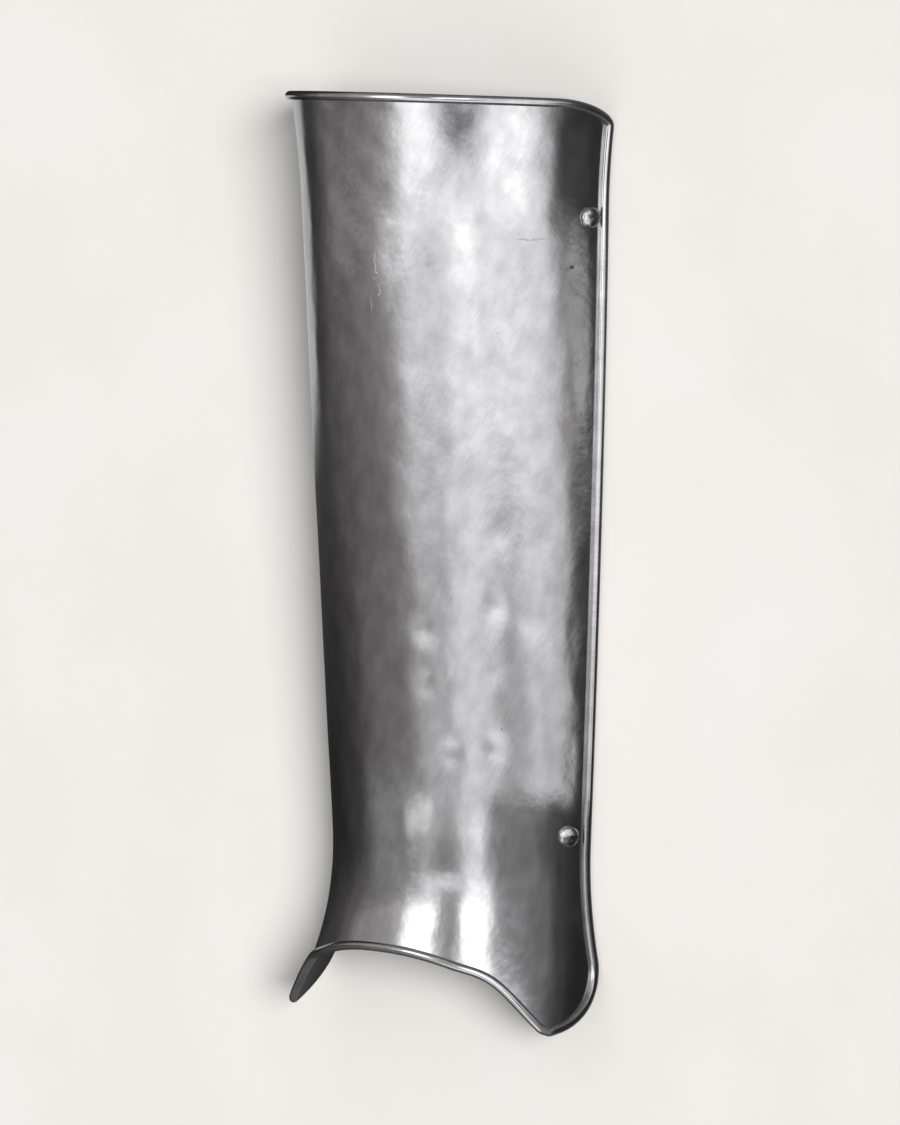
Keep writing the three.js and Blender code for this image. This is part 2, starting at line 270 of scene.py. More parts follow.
# Studio light: place, width in the sky in degrees, strength
KEY_LIGHT = ((1.5, 0.2, 1.17), 20, 3.85)
OVERHEAD_LIGHT = ((0.3, 0.0, 2.2), 120, 0.72)
WORLD_LIGHT = 0.16
FLOOR_SIZE = 8
FLOOR_ROUGHNESS = 0.9

# Camera, fitted to the outline in the photograph; its target is in sheet millimetres
CAMERA_AROUND = math.radians(42.394)
CAMERA_ABOVE = math.radians(4.777)
CAMERA_ROLL = math.radians(0.184)
CAMERA_DISTANCE = 3.29
CAMERA_TARGET = (0.0, 197.475, 30.0)
CAMERA_LENS = 164.7
CAMERA_SENSOR = 24.0
CAMERA_SHIFT = (0.0257, -0.0042)


def along(y, ankle, middle, knee):
    """A smooth curve along the greave through three values."""
    a = (y - MID_Y) * (y - KNEE_Y) / ((ANKLE_Y - MID_Y) * (ANKLE_Y - KNEE_Y))
    m = (y - ANKLE_Y) * (y - KNEE_Y) / ((MID_Y - ANKLE_Y) * (MID_Y - KNEE_Y))
    k = (y - ANKLE_Y) * (y - MID_Y) / ((KNEE_Y - ANKLE_Y) * (KNEE_Y - MID_Y))
    return a * ankle + m * middle + k * knee


def flare_at(y, angle):
    """How much the flares of the top and of the ankle add to the radius."""
    side = np.clip(np.abs(angle) / FADE_ANGLE, 0, FADE_LIMIT) ** FADE_POWER
    top = np.clip((y - LENGTH + TOP_FLARE_REACH) / TOP_FLARE_REACH, 0, 1) ** FLARE_POWER
    ankle = np.clip(1 - y / ANKLE_FLARE_REACH, 0, 1) ** FLARE_POWER
    return top * (TOP_FLARE + TOP_FLARE_SIDES * side) + ANKLE_FLARE * ankle * (1 - ANKLE_FLARE_FADE * side)


def axis_height(y):
    """Height of the tube's axis above the floor."""
    return along(y, ANKLE_DEPTH - ANKLE_RADIUS, MID_DEPTH - MID_RADIUS, KNEE_DEPTH - KNEE_RADIUS)


def inner_point(angle, y):
    """A point of the sheet's inner face."""
    reach = along(y, ANKLE_RADIUS, MID_RADIUS, KNEE_RADIUS) + flare_at(y, angle) - SHEET
    return np.stack([reach * np.sin(angle), y + 0 * angle, axis_height(y) + reach * np.cos(angle)], -1)


def unit(v):
    """The same vectors at length 1."""
    return v / np.linalg.norm(v, axis=-1, keepdims=True)


def normal_at(angle, y):
    """The direction straight out of the sheet."""
    across = inner_point(angle + NORMAL_STEP_ANGLE, y) - inner_point(angle - NORMAL_STEP_ANGLE, y)
    up = inner_point(angle, y + NORMAL_STEP) - inner_point(angle, y - NORMAL_STEP)
    return unit(np.cross(across, up))


def edge_angle(y):
    """The angle at which the bead of the long edge touches the floor."""
    y = np.asarray(y, float)
    low = np.full(y.shape, EDGE_SEARCH[0])
    high = np.full(y.shape, EDGE_SEARCH[1])
    for _ in range(EDGE_SEARCH_STEPS):
        middle = (low + high) / 2
        lowest = inner_point(middle, y)[..., 2] + (normal_at(middle, y)[..., 2] - 1) * BEAD / 2
        low = np.where(lowest > 0, middle, low)
        high = np.where(lowest > 0, high, middle)
    return (low + high) / 2


def arch_height(share):
    """A smooth curve through the heights in ARCH_SHAPE, level at the middle."""
    h = np.array(ARCH_SHAPE, float)
    slope = np.gradient(h)
    slope[0] = 0
    place = np.abs(share) * (len(h) - 1)
    i = np.minimum(place.astype(int), len(h) - 2)
    t = place - i
    rise = h[i + 1] - h[i]
    bend = (slope[i] - rise) * (1 - t) + (rise - slope[i + 1]) * t
    return ARCH_HEIGHT * (h[i] + t * rise + t * (1 - t) * bend)


def arch_curve():
    """The edge over the instep, from tip to tip, as angles and heights."""
    share = np.linspace(-1, 1, ARCH_POINTS)
    return np.stack([share * LOBE_TIP_ANGLE, arch_height(share)], 1)


def corner_curve(start, end):
    """The rounded rear corner of the top, from the top edge (0) to the long edge (1)."""
    y = LENGTH - TOP_DIP - CORNER_HEIGHT
    width = CORNER_WIDTH / KNEE_RADIUS
    turn = np.linspace(start, end, CORNER_POINTS) * math.pi / 2
    power = 2 / CORNER_ROUNDNESS
    across = edge_angle(y) - width + width * np.clip(np.sin(turn), 0, 1) ** power
    return np.stack([across, y + CORNER_HEIGHT * np.clip(np.cos(turn), 0, 1) ** power], 1)


def top_curve():
    """The dipping top edge, with half of the rounded corner at either end."""
    share = np.linspace(0, 1, TOP_POINTS)
    corner = corner_curve(0, 0.5)
    half = np.stack([share * corner[0, 0], LENGTH - TOP_DIP * share ** 2], 1)
    half = np.concatenate([half, corner[1:]])
    return np.concatenate([half[:0:-1] * [-1, 1], half])


def side_curve():
    """From the lobe tip round the lobe, up the long edge and half round the top corner."""
    turn = np.linspace(0, math.pi / 2, LOBE_POINTS)
    power = 2 / LOBE_ROUNDNESS
    height = LOBE_HEIGHT * (1 - np.clip(np.cos(turn), 0, 1) ** power)
    width = edge_angle(height) - LOBE_TIP_ANGLE
    lobe = np.stack([LOBE_TIP_ANGLE + width * np.clip(np.sin(turn), 0, 1) ** power, height], 1)
    corner = corner_curve(1, 0.5)
    y = np.linspace(LOBE_HEIGHT, corner[0, 1], SIDE_POINTS)[1:-1]
    return np.concatenate([lobe, np.stack([edge_angle(y), y], 1), corner])


def spaced(points, shares):
    """Points at these shares of a curve's length."""
    steps = np.hypot(np.diff(points[:, 0]) * MID_RADIUS, np.diff(points[:, 1]))
    at = np.concatenate([[0], np.cumsum(steps)])
    at /= at[-1]
    return np.stack([np.interp(shares, at, points[:, k]) for k in (0, 1)], 1)


def crowd(count, amount):
    """Shares from 0 to 1 that lie closer together near both ends."""
    t = np.linspace(0, 1, count + 1)
    return t - amount * np.sin(2 * math.pi * t) / (2 * math.pi)


def fill_net(bottom, side, top, u, v):
    """Rows and columns between four edge curves, mirrored on the left."""
    u = u[None, :, None]
    v = v[:, None, None]
    left = (side * [-1, 1])[:, None, :]
    right = side[:, None, :]
    net = (1 - v) * bottom[None] + v * top[None] + (1 - u) * left + u * right
    net = net - (1 - u) * (1 - v) * bottom[0] - u * (1 - v) * bottom[-1]
    return net - (1 - u) * v * top[0] - u * v * top[-1]


def outline_indices(rows, columns):
    """Row and column of each point round the net's outline."""
    loop = [(0, i) for i in range(columns)]
    loop += [(j, columns) for j in range(rows)]
    loop += [(rows, i) for i in range(columns, 0, -1)]
    return np.array(loop + [(j, 0) for j in range(rows, 0, -1)])


def smooth_tips(net):
    """Blunts the two sharp tips: the outline's own points are averaged there."""
    rows, columns = net.shape[0] - 1, net.shape[1] - 1
    loop = outline_indices(rows, columns)
    line = net[loop[:, 0], loop[:, 1]]
    scale = np.array([MID_RADIUS, 1])
    for tip in (0, columns):
        gap = np.linalg.norm((line - net[0, tip]) * scale, axis=1)
        near = np.exp(-(gap / TIP_BLUNTING) ** 2)[:, None]
        soft = sum(np.roll(line, k, axis=0) for k in range(-TIP_SPAN, TIP_SPAN + 1)) / (2 * TIP_SPAN + 1)
        line = line * (1 - near) + soft * near
    net[loop[:, 0], loop[:, 1]] = line
    return net


def outline_frame(net):
    """Points of the outline, the sheet's normals there and the directions out of the sheet's edge."""
    loop = outline_indices(net.shape[0] - 1, net.shape[1] - 1)
    line = net[loop[:, 0], loop[:, 1]]
    points = inner_point(line[:, 0], line[:, 1])
    normals = normal_at(line[:, 0], line[:, 1])
    tangent = np.roll(points, -1, axis=0) - np.roll(points, 1, axis=0)
    return loop, points, normals, unit(np.cross(tangent, normals))


def shrunk_net(net, distance, u, v):
    """The same net inside an outline drawn in by a distance, for the outer face."""
    loop, points, _, outwards = outline_frame(net)
    moved = points - outwards * distance
    angle = np.arctan2(moved[:, 0], moved[:, 2] - axis_height(moved[:, 1]))
    inside = np.zeros_like(net)
    inside[loop[:, 0], loop[:, 1]] = np.stack([angle, moved[:, 1]], 1)
    return fill_net(inside[0], inside[:, -1], inside[-1], u, v)


def waviness(angle, y):
    """Height of the sheet's soft unevenness above its true form: long waves and small dents."""
    arc = angle * MID_RADIUS
    height = 0 * arc
    for depth, across, along_y, start in WAVES:
        height = height + depth * np.sin(2 * math.pi * (arc / across + y / along_y) + start)
    for degrees, level, depth, wide, tall in DENTS:
        away = ((arc - math.radians(degrees) * MID_RADIUS) / wide) ** 2 + ((y - level) / tall) ** 2
        height = height - depth * np.exp(-away / 2)
    return height


def edge_fade(u, v):
    """From 0 at the rolled edge to 1 inside the sheet, so the unevenness stops at the bead."""
    across = np.minimum(u, 1 - u)[None, :] * FADE_SHEET_WIDTH / FADE_WIDTH
    up = np.minimum(v, 1 - v)[:, None] * FADE_SHEET_LENGTH / FADE_WIDTH
    share = np.clip(np.minimum(across, up), 0, 1)
    return share * share * (3 - 2 * share)


def frame_map(points):
    """The change from sheet millimetres to frame metres.

    By it these points just fill the CAD plate's box.
    """
    low, high = points.min(axis=0), points.max(axis=0)
    box_low, box_high = (np.array(corner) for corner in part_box("shin_plate"))
    grow = (box_high - box_low - 2 * BOX_MARGIN) / (high - low)
    return lambda some: box_low + BOX_MARGIN + (np.asarray(some) - low) * grow


def grid_faces(ids, flip):
    """Four-sided faces between the rows and columns of a grid of vertices."""
    a, b, c, d = ids[:-1, :-1], ids[:-1, 1:], ids[1:, 1:], ids[1:, :-1]
    quads = np.stack([a, d, c, b] if flip else [a, b, c, d], -1)
    return quads.reshape(-1, 4)


def sheet_face(net, height, fade):
    """Points of one face of the sheet, with its unevenness, at a height above the inner face."""
    angle, y = net[..., 0], net[..., 1]
    swell = (fade * waviness(angle, y))[..., None]
    return inner_point(angle, y) + (height + swell) * normal_at(angle, y)


def bead_rings(points, normals, outwards):
    """Points round the bead, between the sheet's two faces, for each point of the outline."""
    radius = BEAD / 2
    full = 2 * math.pi - math.acos((radius - SHEET) / radius)
    turns = full * np.arange(1, BEAD_SIDES) / BEAD_SIDES
    centre = points + normals * radius
    rings = centre[:, None] - radius * np.cos(turns)[None, :, None] * normals[:, None]
    return rings + radius * np.sin(turns)[None, :, None] * outwards[:, None]


def bead_inset():
    """How far the outer face starts from the outline, where it meets the bead."""
    radius = BEAD / 2
    return math.sqrt(radius ** 2 - (radius - SHEET) ** 2)


def plate_arrays():
    """Vertices, faces, net coordinates, the seam between bead and outer face, and what is inside."""
    u = crowd(COLUMNS, COLUMN_CROWDING)
    v = crowd(ROWS, ROW_CROWDING)
    bottom, side, top = spaced(arch_curve(), u), spaced(side_curve(), v), spaced(top_curve(), u)
    net = smooth_tips(fill_net(bottom, side, top, u, v))
    outer_net = shrunk_net(net, bead_inset(), u, v)
    fade = edge_fade(u, v)
    inner = sheet_face(net, 0, fade)
    outer = sheet_face(outer_net, SHEET, fade)
    loop, edge, normals, outwards = outline_frame(net)
    rings = bead_rings(edge, normals, outwards)
    count = inner.shape[0] * inner.shape[1]
    inner_ids = np.arange(count).reshape(inner.shape[:2])
    outer_ids = inner_ids + count
    ring_ids = 2 * count + np.arange(rings.shape[0] * rings.shape[1]).reshape(rings.shape[:2])
    first = inner_ids[loop[:, 0], loop[:, 1]][:, None]
    last = outer_ids[loop[:, 0], loop[:, 1]][:, None]
    chain = np.concatenate([first, ring_ids, last], 1)
    chain = np.concatenate([chain, chain[:1]])
    faces = [grid_faces(outer_ids, False), grid_faces(inner_ids, True), grid_faces(chain, False)]
    points = np.concatenate([part.reshape(-1, 3) for part in (inner, outer, rings)])
    line = net[loop[:, 0], loop[:, 1]]
    ring_net = np.repeat(line[:, None], BEAD_SIDES - 1, axis=1)
    flat = np.concatenate([part.reshape(-1, 2) for part in (net, outer_net, ring_net)])
    inside = np.arange(len(points)) < count
    return points, np.concatenate(faces), flat, chain[:, -1], inside


def set_sharp(mesh, seam):
    """Marks the seam between bead and outer face as a sharp crease."""
    pairs = {tuple(sorted(p)) for p in zip(seam[:-1].tolist(), seam[1:].tolist())}
    keys = [tuple(sorted(e.vertices)) for e in mesh.edges]
    sharp = mesh.attributes.new("sharp_edge", "BOOLEAN", "EDGE")
    sharp.data.foreach_set("value", [k in pairs for k in keys])


def add_object(name, mesh, material):
    """A smooth-shaded object in the scene."""
    obj = bpy.data.objects.new(name, mesh)
    bpy.context.scene.collection.objects.link(obj)
    mesh.materials.append(material)
    mesh.shade_smooth()
    return obj


def make_plate(arrays, to_frame, material):
    """The plate with its rolled edge, with the flat sheet's metres as its UV map."""
    points, faces, flat, seam, inside = arrays
    mesh = bpy.data.meshes.new("shin_plate_fine")
    mesh.from_pydata(to_frame(points).tolist(), [], faces.tolist())
    uv = mesh.uv_layers.new(name="sheet")
    corners = np.empty(len(mesh.loops), int)
    mesh.loops.foreach_get("vertex_index", corners)
    spread = np.stack([flat[:, 0] * MID_RADIUS, flat[:, 1]], 1)[corners] / 1000
    uv.data.foreach_set("uv", spread.ravel())
    hollow = mesh.attributes.new("inside", "FLOAT", "POINT")
    hollow.data.foreach_set("value", inside.astype(float))
    obj = add_object("shin_plate_fine", mesh, material)
    set_sharp(mesh, seam)
    return obj


def rivet_profile():
    """Radius and height of a rivet's outline, from the end of its tail to the top of its head."""
    tail_top = -SHEET - TAIL_GAP
    tail_end = tail_top - TAIL_HEIGHT
    profile = [(0, tail_end), (TAIL_RADIUS - TAIL_ROUND, tail_end)]
    profile += [(TAIL_RADIUS - TAIL_ROUND_MIDDLE, tail_end + TAIL_ROUND_MIDDLE)]
    profile += [(TAIL_RADIUS, tail_end + TAIL_ROUND), (TAIL_RADIUS, tail_top)]
    profile += [(SHANK_RADIUS, tail_top), (SHANK_RADIUS, HEAD_GAP), (HEAD_RADIUS - HEAD_CHAMFER, HEAD_GAP)]
    profile += [(HEAD_RADIUS, HEAD_GAP + HEAD_CHAMFER), (HEAD_RADIUS, HEAD_GAP + HEAD_RIM)]
    for turn in np.linspace(0, math.pi / 2, RIVET_DOME_STEPS + 1)[1:]:
        height = HEAD_GAP + HEAD_RIM + (HEAD_HEIGHT - HEAD_RIM) * math.sin(turn)
        profile.append((HEAD_RADIUS * math.cos(turn), height))
    return np.array(profile)


def make_rivet(name, y, inset, side, to_frame, material):
    """A domed rivet through the sheet, at a distance from the long edge."""
    radius = along(y, ANKLE_RADIUS, MID_RADIUS, KNEE_RADIUS) + flare_at(y, FADE_ANGLE)
    angle = side * (edge_angle(y) - inset / radius)
    normal = normal_at(angle, np.float64(y))
    place = inner_point(angle, np.float64(y)) + normal * SHEET
    turn = Vector((0, 0, 1)).rotation_difference(Vector(normal)).to_matrix()
    profile = rivet_profile()
    swing = np.arange(RIVET_SIDES) * 2 * math.pi / RIVET_SIDES
    body = profile[1:-1]
    heights = np.repeat(body[:, 1:], RIVET_SIDES, axis=1)
    ring = np.stack([body[:, :1] * np.cos(swing), body[:, :1] * np.sin(swing), heights], -1)
    count = ring.shape[0] * RIVET_SIDES
    local = np.concatenate([ring.reshape(-1, 3), [[0, 0, profile[0, 1]], [0, 0, profile[-1, 1]]]])
    points = to_frame(local @ np.array(turn).T + place)
    ids = np.arange(count).reshape(ring.shape[:2])
    ids = np.concatenate([ids, ids[:, :1]], 1)
    faces = grid_faces(ids, False).tolist()
    faces += [[count, int(b), int(a)] for a, b in zip(ids[0, :-1], ids[0, 1:])]
    faces += [[count + 1, int(a), int(b)] for a, b in zip(ids[-1, :-1], ids[-1, 1:])]
    mesh = bpy.data.meshes.new(name + "_fine")
    mesh.from_pydata(points.tolist(), [], faces)
    obj = add_object(name + "_fine", mesh, material)
    mesh.set_sharp_from_angle(angle=RIVET_CREASE)
    return obj


def maths(tree, operation, a, b):
    """A maths node on two values, each a number or another node's output."""
    made = tree.nodes.new("ShaderNodeMath")
    made.operation = operation
    for slot, value in enumerate((a, b)):
        if isinstance(value, (int, float)):
            made.inputs[slot].default_value = value
        else:
            tree.links.new(value, made.inputs[slot])
    return made.outputs[0]


def add_times(tree, value, more, amount):
    """The first value plus the second one times an amount."""
    return maths(tree, "ADD", value, maths(tree, "MULTIPLY", more, amount))


def centred(tree, noise):
    """Noise moved down to lie evenly about zero."""
    return maths(tree, "SUBTRACT", noise, 0.5)


def square_sum(tree, a, b):
    """The sum of two squares."""
    return maths(tree, "ADD", maths(tree, "POWER", a, 2.0), maths(tree, "POWER", b, 2.0))


def stretched_noise(tree, coordinate, lean, stretch, scale, detail):
    """Noise drawn out along a line that leans by some degrees from the greave's length."""
    mapping = tree.nodes.new("ShaderNodeMapping")
    mapping.vector_type = "TEXTURE"
    mapping.inputs["Rotation"].default_value = (0, 0, math.radians(-lean))
    mapping.inputs["Scale"].default_value = (1, stretch, 1)
    tree.links.new(coordinate, mapping.inputs["Vector"])
    noise = tree.nodes.new("ShaderNodeTexNoise")
    noise.inputs["Scale"].default_value = scale
    noise.inputs["Detail"].default_value = detail
    tree.links.new(mapping.outputs[0], noise.inputs["Vector"])
    return noise.outputs["Fac"]


def bump(tree, height, distance, before=None):
    """A bump of this depth, on top of an earlier one if there is one."""
    made = tree.nodes.new("ShaderNodeBump")
    made.inputs["Strength"].default_value = 1
    made.inputs["Distance"].default_value = distance
    tree.links.new(height, made.inputs["Height"])
    if before is not None:
        tree.links.new(before, made.inputs["Normal"])
    return made.outputs[0]


def ramp(tree, value, low, high, start=0.0, end=1.0):
    """A smooth step from start to end as the value goes from low to high."""
    made = tree.nodes.new("ShaderNodeMapRange")
    made.interpolation_type = "SMOOTHSTEP"
    tree.links.new(value, made.inputs["Value"])
    for name, number in zip(("From Min", "From Max", "To Min", "To Max"), (low, high, start, end)):
        made.inputs[name].default_value = number
    return made.outputs["Result"]


def blend_colour(tree, factor, first, second):
    """A mix of two colours, each a tuple or another node's output."""
    made = tree.nodes.new("ShaderNodeMix")
    made.data_type = "RGBA"
    tree.links.new(factor, made.inputs["Factor"])
    for name, value in (("A", first), ("B", second)):
        if isinstance(value, tuple):
            made.inputs[name].default_value = value
        else:
            tree.links.new(value, made.inputs[name])
    return made.outputs["Result"]


def mix_numbers(tree, factor, first, second):
    """A mix of two numbers."""
    made = tree.nodes.new("ShaderNodeMix")
    made.data_type = "FLOAT"
    for name, value in (("Factor", factor), ("A", first), ("B", second)):
        tree.links.new(value, made.inputs[name])
    return made.outputs["Result"]


def new_material(name):
    """A material with its node tree and its main shader."""
    material = bpy.data.materials.new(name)
    material.use_nodes = True
    tree = material.node_tree
    return material, tree, tree.nodes["Principled BSDF"]


def mark_mask(tree, axes, wander, degrees, level, half_width, half_height, sway):
    """1 inside a small wandering ellipse on the sheet, 0 outside."""
    across = maths(tree, "SUBTRACT", axes[0], math.radians(degrees) * MID_RADIUS / 1000)
    up = maths(tree, "SUBTRACT", axes[1], level / 1000)
    shift = maths(tree, "MULTIPLY", centred(tree, wander), WANDER_GAIN * sway / 1000)
    if half_height > half_width:
        across = maths(tree, "ADD", across, shift)
    else:
        up = maths(tree, "ADD", up, shift)
    across = maths(tree, "DIVIDE", across, half_width / 1000)
    up = maths(tree, "DIVIDE", up, half_height / 1000)
    return ramp(tree, square_sum(tree, across, up), *MARK_BORDER, 1, 0)


def steel_material():
    """Bare polished steel: mottled polish, fine slanting scratches, a few scuffs; rougher inside, with
    painted shade darkening the inner face.
    """
    material, tree, shader = new_material("polished_steel")
    shader.inputs["Metallic"].default_value = 1
    place = tree.nodes.new("ShaderNodeUVMap").outputs[0]
    split = tree.nodes.new("ShaderNodeSeparateXYZ")
    tree.links.new(place, split.inputs[0])
    axes = split.outputs[:2]
    inside_node = tree.nodes.new("ShaderNodeAttribute")
    inside_node.attribute_name = "inside"
    inside = inside_node.outputs["Fac"]
    clouds = stretched_noise(tree, place, *CLOUDS)
    mottle = stretched_noise(tree, place, *MOTTLE)
    patches = ramp(tree, stretched_noise(tree, place, *PATCHES), *PATCH_RANGE)
    strokes = stretched_noise(tree, place, *STROKES)
    fine = stretched_noise(tree, place, *FINE_LINES)
    wander = stretched_noise(tree, place, *WANDER)
    dust = stretched_noise(tree, place, *DUST)
    frost = stretched_noise(tree, place, *FROST)
    grain = maths(tree, "MULTIPLY", centred(tree, strokes), patches)
    colour = blend_colour(tree, clouds, STEEL_DIM, STEEL_BRIGHT)
    tone = add_times(tree, TONE_BASE, grain, GRAIN_TONE)
    tone = add_times(tree, tone, centred(tree, dust), DUST_TONE)
    tone = add_times(tree, tone, centred(tree, frost), FROST_TONE)
    colour = blend_colour(tree, tone, STEEL_DULL, colour)
    for *form, dark in MARKS:
        mask = mark_mask(tree, axes, wander, *form)
        broken = maths(tree, "MULTIPLY", mask, ramp(tree, mottle, *MARK_BREAKS))
        colour = blend_colour(tree, maths(tree, "MULTIPLY", broken, dark), colour, MARK_COLOUR)
    rough = add_times(tree, ROUGH_BASE, clouds, CLOUD_ROUGH)
    rough = add_times(tree, rough, fine, FINE_ROUGH)
    for form in SCRATCHES:
        mask = mark_mask(tree, axes, wander, *form)
        colour = blend_colour(tree, maths(tree, "MULTIPLY", mask, SCRATCH_COVER), colour, SCRATCH_COLOUR)
        rough = add_times(tree, rough, mask, SCRATCH_ROUGH)
    # Painted shade: the inner face takes a dark colour that stands for the shade inside the hollow
    colour = blend_colour(tree, inside, colour, INSIDE_STEEL_PAINTED_SHADE)
    tree.links.new(colour, shader.inputs["Base Color"])
    rough = add_times(tree, rough, inside, INSIDE_ROUGH)
    tree.links.new(rough, shader.inputs["Roughness"])
    dimples = stretched_noise(tree, place, *DIMPLES)
    normal = bump(tree, mottle, MOTTLE_BUMP, bump(tree, dimples, DIMPLE_BUMP))
    tree.links.new(bump(tree, grain, GRAIN_BUMP, normal), shader.inputs["Normal"])
    return material


def rivet_material():
    """Hammered steel heads with a soft mottle in their polish."""
    material, tree, shader = new_material("rivet_steel")
    shader.inputs["Metallic"].default_value = 1
    place = tree.nodes.new("ShaderNodeTexCoord").outputs["Object"]
    mottle = stretched_noise(tree, place, *RIVET_MOTTLE)
    tree.links.new(blend_colour(tree, mottle, RIVET_DIM, RIVET_BRIGHT), shader.inputs["Base Color"])
    tree.links.new(ramp(tree, mottle, *RIVET_RANGE, *RIVET_ROUGH), shader.inputs["Roughness"])
    tree.links.new(bump(tree, mottle, RIVET_BUMP), shader.inputs["Normal"])
    return material


def floor_material():
    """Pale paper-like floor with a faint cloudiness."""
    material, tree, shader = new_material("pale_floor")
    shader.inputs["Roughness"].default_value = FLOOR_ROUGHNESS
    shader.inputs["Specular IOR Level"].default_value = 0.0
    place = tree.nodes.new("ShaderNodeTexCoord").outputs["Object"]
    cloud = stretched_noise(tree, place, *PAPER_CLOUDS)
    tree.links.new(blend_colour(tree, cloud, PAPER_DIM, PAPER_BRIGHT), shader.inputs["Base Color"])
    return material


def glow_material(name):
    """A material of light alone, with its coordinates and its last two nodes."""
    material = bpy.data.materials.new(name)
    material.use_nodes = True
    material.cycles.emission_sampling = "NONE"
    tree = material.node_tree
    tree.nodes.clear()
    split = tree.nodes.new("ShaderNodeSeparateXYZ")
    tree.links.new(tree.nodes.new("ShaderNodeUVMap").outputs[0], split.inputs[0])
    glow = tree.nodes.new("ShaderNodeEmission")
    out = tree.nodes.new("ShaderNodeOutputMaterial")
    return material, tree, split.outputs, glow, out


def card_patch(name, radius, middle, place, half_angle, half_length):
    """A curved patch facing the axis, with coordinates in degrees and metres from its middle."""
    points = []
    spread = []
    for i in range(CARD_STEPS + 1):
        turn = half_angle * (2 * i / CARD_STEPS - 1)
        angle = math.radians(middle + turn)
        for y in (-half_length, half_length):
            points.append((radius * math.sin(angle), place + y, radius * math.cos(angle)))
            spread.append((turn, y))
    faces = [(2 * i, 2 * i + 1, 2 * i + 3, 2 * i + 2) for i in range(CARD_STEPS)]
    mesh = bpy.data.meshes.new(name)
    mesh.from_pydata(points, [], faces)
    uv = mesh.uv_layers.new(name="patch")
    for loop in mesh.loops:
        uv.data[loop.index].uv = spread[loop.vertex_index]
    return mesh


def show_in_steel_only(obj):
    """Hides a card from the camera and from the floor, so that only the steel mirrors it."""
    obj.visible_camera = False
    obj.visible_diffuse = False
    obj.visible_shadow = False


def brightness_curve(tree, bands, angle):
    """The brightness at an angle, by a smooth curve through a table of degrees and values."""
    curve = tree.nodes.new("ShaderNodeFloatCurve")
    line = curve.mapping.curves[0]
    places = [((degrees + TENT_REACH) / (2 * TENT_REACH), value / TENT_FULL) for degrees, value in bands]
    line.points[0].location = places[0]
    line.points[1].location = places[-1]
    for place in places[1:-1]:
        line.points.new(*place)
    for point in line.points:
        point.handle_type = "AUTO_CLAMPED"
    curve.mapping.update()
    share = maths(tree, "DIVIDE", maths(tree, "ADD", angle, TENT_REACH), 2 * TENT_REACH)
    tree.links.new(share, curve.inputs["Value"])
    return maths(tree, "MULTIPLY", curve.outputs[0], TENT_FULL)


def make_tent():
    """A curved reflecting screen round the part."""
    mesh = card_patch("light_tent", TENT_RADIUS, 0, 0, TENT_REACH, TENT_HALF_LENGTH)
    material, tree, (angle, place, _), glow, out = glow_material("light_tent")
    low, high, ankle = (brightness_curve(tree, bands, angle) for bands in (TENT_LOW, TENT_HIGH, TENT_ANKLE))
    share = maths(tree, "MAXIMUM", ramp(tree, place, *LOW_END), ramp(tree, place, *LOW_START, 1, 0))
    body = mix_numbers(tree, share, low, high)
    strength = mix_numbers(tree, ramp(tree, place, *ANKLE_START), body, ankle)
    tree.links.new(strength, glow.inputs["Strength"])
    tint = blend_colour(tree, ramp(tree, strength, *TINT_RANGE), SHADE_TINT, LIGHT_TINT)
    tree.links.new(tint, glow.inputs["Color"])
    tree.links.new(glow.outputs[0], out.inputs["Surface"])
    show_in_steel_only(add_object("light_tent", mesh, material))


def beyond(tree, value, half, soft):
    """How far a coordinate lies outside a half width, in shares of the soft border."""
    outside = maths(tree, "SUBTRACT", maths(tree, "ABSOLUTE", value, 0), half)
    return maths(tree, "DIVIDE", maths(tree, "MAXIMUM", outside, 0), soft)


def make_card(name, radius, middle, place, half_angle, half_length, soft_angle, soft_length, light, cover):
    """A soft-edged card of even light, or a dark flag, that lets through what its mask leaves."""
    mesh = card_patch(name, radius, middle, place, half_angle + soft_angle, half_length + soft_length)
    material, tree, (across, along_y, _), glow, out = glow_material(name)
    glow.inputs["Strength"].default_value = light
    wide = beyond(tree, across, half_angle, soft_angle)
    tall = beyond(tree, along_y, half_length, soft_length)
    away = maths(tree, "SQRT", square_sum(tree, wide, tall), 0)
    flat = tree.nodes.new("ShaderNodeCombineXYZ")
    tree.links.new(maths(tree, "MULTIPLY", across, math.radians(radius)), flat.inputs[0])
    tree.links.new(along_y, flat.inputs[1])
    cloud = stretched_noise(tree, flat.outputs[0], 0, 1, CARD_CLOUDS / radius, CARD_CLOUD_DETAIL)
    away = add_times(tree, away, centred(tree, cloud), CARD_WOBBLE)
    mask = maths(tree, "MULTIPLY", ramp(tree, away, 0.0, 1.0, 1, 0), cover)
    mix = tree.nodes.new("ShaderNodeMixShader")
    clear = tree.nodes.new("ShaderNodeBsdfTransparent")
    tree.links.new(mask, mix.inputs[0])
    tree.links.new(clear.outputs[0], mix.inputs[1])
    tree.links.new(glow.outputs[0], mix.inputs[2])
    tree.links.new(mix.outputs[0], out.inputs["Surface"])
    show_in_steel_only(add_object(name, mesh, material))


def make_plain_card(name, place, turn, size, light):
    """A flat card of even light, seen only in the steel."""
    bpy.ops.mesh.primitive_plane_add(size=1, location=place, rotation=(turn, 0, 0))
    card = bpy.context.object
    card.name = name
    card.scale = (*size, 1)
    material, tree, _, glow, out = glow_material(name)
    glow.inputs["Strength"].default_value = light
    tree.links.new(glow.outputs[0], out.inputs["Surface"])
    card.data.materials.append(material)
    show_in_steel_only(card)


def make_floor():
    """A plain pale floor, which the steel doesn't mirror."""
    bpy.ops.mesh.primitive_plane_add(size=FLOOR_SIZE, location=(0, 0, 0))
    floor = bpy.context.object
    floor.name = "floor"
    floor.data.materials.append(floor_material())
    floor.visible_glossy = False


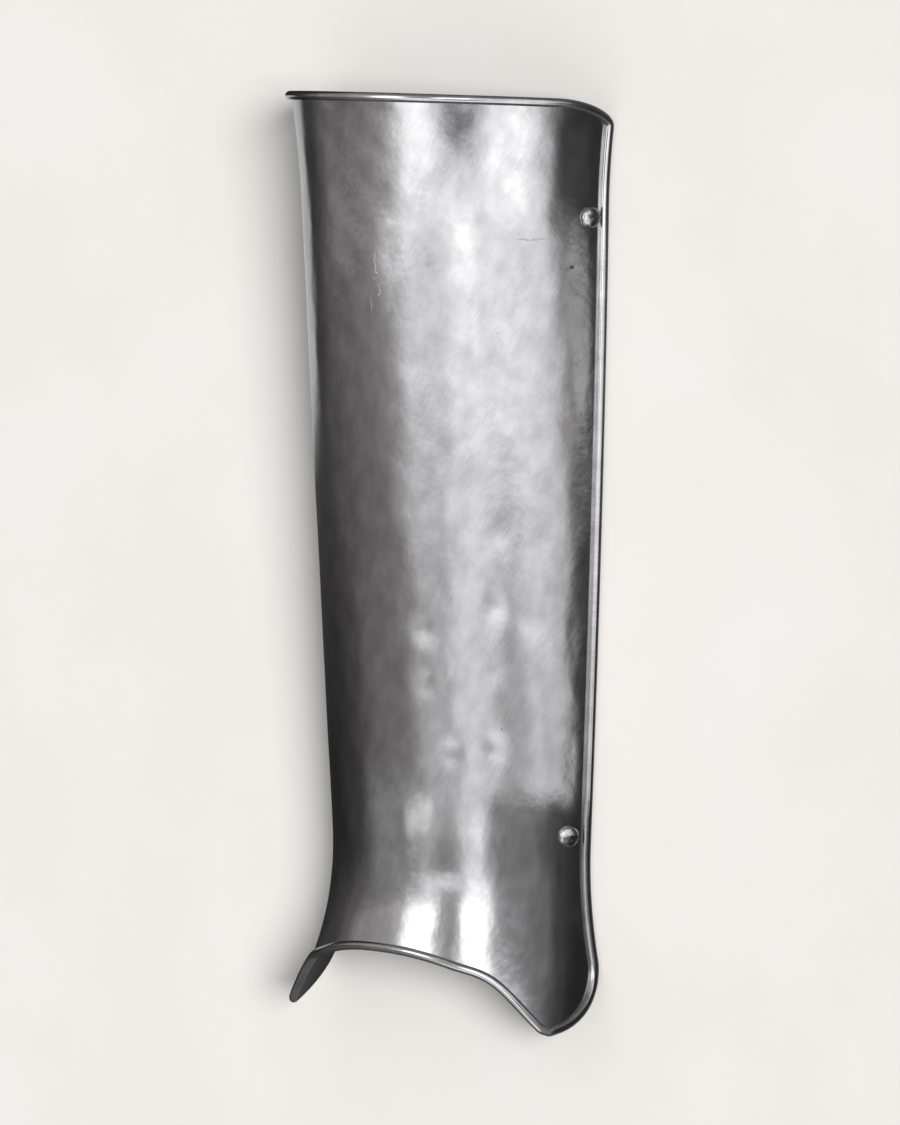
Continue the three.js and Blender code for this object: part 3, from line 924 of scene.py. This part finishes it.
def far_light(name, place, width, strength):
    """Soft even light from a far window, as wide in the sky as the angle given in degrees."""
    data = bpy.data.lights.new(name, "SUN")
    data.angle = math.radians(width)
    data.energy = strength
    lamp = bpy.data.objects.new(name, data)
    bpy.context.scene.collection.objects.link(lamp)
    lamp.location = place
    lamp.rotation_euler = (-Vector(place)).to_track_quat("-Z", "Y").to_euler()
    lamp.visible_glossy = False


def make_world():
    """Weak even light from all round."""
    world = bpy.data.worlds.new("studio")
    bpy.context.scene.world = world
    world.use_nodes = True
    background = world.node_tree.nodes["Background"]
    background.inputs["Color"].default_value = WHITE
    background.inputs["Strength"].default_value = WORLD_LIGHT


def make_camera(target):
    """The camera at the photograph's viewing angle."""
    around, above = CAMERA_AROUND, CAMERA_ABOVE
    back = Vector((math.sin(around) * math.cos(above), math.sin(above), math.cos(around) * math.cos(above)))
    right = Vector((0, 1, 0)).cross(back).normalized()
    up = back.cross(right)
    c, s = math.cos(CAMERA_ROLL), math.sin(CAMERA_ROLL)
    right, up = right * c + up * s, up * c - right * s
    data = bpy.data.cameras.new("photo_camera")
    data.sensor_fit = "VERTICAL"
    data.sensor_height = CAMERA_SENSOR
    data.lens = CAMERA_LENS
    data.shift_x, data.shift_y = CAMERA_SHIFT
    camera = bpy.data.objects.new("photo_camera", data)
    bpy.context.scene.collection.objects.link(camera)
    turn = Matrix((right, up, back)).transposed().to_4x4()
    camera.matrix_world = Matrix.Translation(target + back * CAMERA_DISTANCE) @ turn
    bpy.context.scene.camera = camera


# The part
sheet = plate_arrays()
to_frame = frame_map(sheet[0])
plate = make_plate(sheet, to_frame, steel_material())
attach(plate, "root")
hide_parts("shin_plate")

# Name, height on the greave, distance from the long edge and side of each rivet
bright = rivet_material()
rivets = [("rivet_right_upper", UPPER_RIVET_Y, UPPER_RIVET_INSET, 1),
          ("rivet_right_lower", LOWER_RIVET_Y, LOWER_RIVET_INSET, 1),
          ("rivet_left_upper", UPPER_RIVET_Y, UPPER_RIVET_INSET, -1),
          ("rivet_left_lower", LOWER_RIVET_Y, LOWER_RIVET_INSET, -1)]
for name, y, inset, side in rivets:
    rivet = make_rivet(name, y, inset, side, to_frame, bright)
    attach(rivet, "root")
    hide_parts(name)

# The studio
make_floor()
make_tent()
for card in CARDS:
    make_card(*card)
make_plain_card(*UNDER_CARD)
make_plain_card(*END_CARD)
far_light("key", *KEY_LIGHT)
far_light("overhead", *OVERHEAD_LIGHT)
make_world()
make_camera(Vector(to_frame(CAMERA_TARGET)))
bpy.context.scene.view_settings.view_transform = "Standard"
